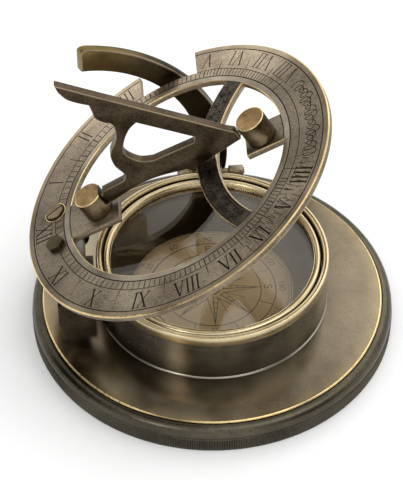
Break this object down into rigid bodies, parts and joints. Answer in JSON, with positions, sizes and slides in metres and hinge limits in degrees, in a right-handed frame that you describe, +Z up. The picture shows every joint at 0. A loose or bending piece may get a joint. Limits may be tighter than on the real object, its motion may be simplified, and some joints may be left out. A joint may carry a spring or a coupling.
{
  "type": "folding equatorial sundial compass",
  "caption": "Round knurled base with a glazed compass case, a hinged hour ring with a folding gnomon, and a hinged latitude arc.",
  "frame": {"origin": "centre of the base's underside, on the surface it stands on", "axes": "+Z up; +X away from the dial's hinge, so the hinge line runs along Y at -X; +Y towards the latitude arc"},
  "size_m": [0.12, 0.12, 0.1039],
  "materials": {
    "rim_brass": "dark patinated knurled brass",
    "flange_brass": "dark brown patina, satin, gold at the edge",
    "case_brass": "dark brown patina, polished",
    "bright_brass": "turned and polished brass",
    "dial_brass": "grey-brown antique patina, worn to gold along the edges",
    "gnomon_brass": "brown antique patina, cast",
    "knob_brass": "worn golden brass",
    "arc_brass": "dark brown patina, gold edge",
    "screw_brass": "tarnished brass",
    "window_glass": "clear flat glass",
    "card_paper": "printed paper, off-white",
    "needle_steel": "bright steel"
  },
  "bodies": {
    "base": {"knurled_rim": "rim_brass", "bottom_cover": "flange_brass", "cover_screws": "screw_brass", "flange_plate": "flange_brass", "compass_case": "case_brass", "bezel_ring": "bright_brass", "glass": "window_glass", "retaining_ring": "bright_brass", "pivot_needle": "needle_steel", "hinge_block": "case_brass", "hinge_block_screws": "screw_brass", "hinge_pin": "screw_brass", "arc_bracket": "case_brass", "arc_hinge_pin": "screw_brass", "arc_bracket_screws": "screw_brass"},
    "dial": {"hinge_leaf": "case_brass", "slotted_leaf_screw": "screw_brass", "hexagon_leaf_screw": "screw_brass", "hour_ring": "dial_brass", "left_post": "knob_brass", "right_post": "knob_brass"},
    "style": {"gnomon": "gnomon_brass", "gnomon_trunnions": "screw_brass"},
    "arc": {"latitude_arc": "arc_brass"},
    "card": {"compass_card": "card_paper", "card_cap": "bright_brass", "card_magnet": "needle_steel"}
  },
  "joints": [
    {"name": "dial_tilt", "type": "hinge", "parent": "base", "child": "dial", "pos_m": [-0.045, 0, 0.0263], "axis": [0, -1, 0], "range_deg": [-28.86, 50]},
    {"name": "gnomon_fold", "type": "hinge", "parent": "dial", "child": "style", "pos_m": [-0.01445, 0, 0.06803], "axis": [0.8758, 0, 0.4827], "range_deg": [0, 88]},
    {"name": "arc_fold", "type": "hinge", "parent": "base", "child": "arc", "pos_m": [0, 0.0437, 0.0228], "axis": [-1, 0, 0], "range_deg": [0, 80]},
    {"name": "card_spin", "type": "hinge", "parent": "base", "child": "card", "pos_m": [0, 0, 0.0119], "axis": [0, 0, 1], "continuous": true}
  ]
}
